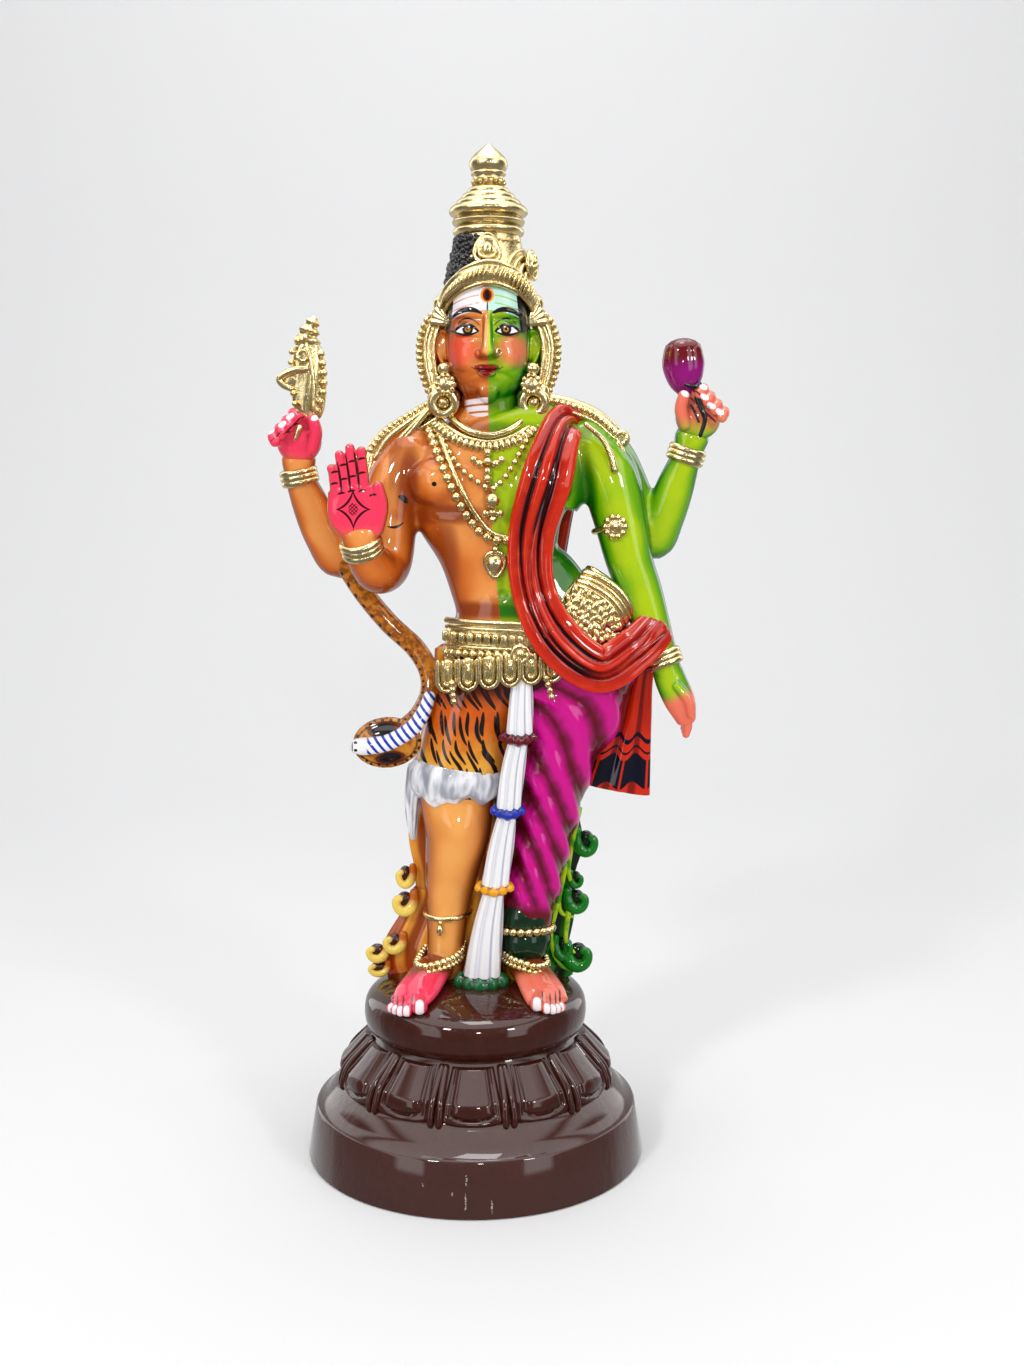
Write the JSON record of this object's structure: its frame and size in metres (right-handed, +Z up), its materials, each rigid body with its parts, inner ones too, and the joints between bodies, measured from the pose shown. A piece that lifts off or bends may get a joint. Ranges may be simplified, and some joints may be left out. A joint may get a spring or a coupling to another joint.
{
  "type": "ardhanarishvara statue",
  "caption": "Painted moulded display figure of a standing two-sided deity with raised and lowered arms, cobra, sash and tall crown, on a round lotus base.",
  "frame": {"origin": "centre of the flat round underside of the base", "axes": "+Z up, -Y the figure's front, +X the figure's own left, where the green half is"},
  "size_m": [0.2714, 0.209, 0.61],
  "materials": {
    "skin_paint": "high-gloss lacquer over airbrushed paint, orange-brown on one half and yellow-green on the other",
    "gold_paint": "pale gold metallic paint under lacquer",
    "cloth_paint": "high-gloss paint with darker brush strokes in the folds",
    "base_lacquer": "dark brown gloss lacquer, duller on the plinth's side"
  },
  "bodies": {
    "root": {"statue": "skin_paint"}
  },
  "joints": []
}
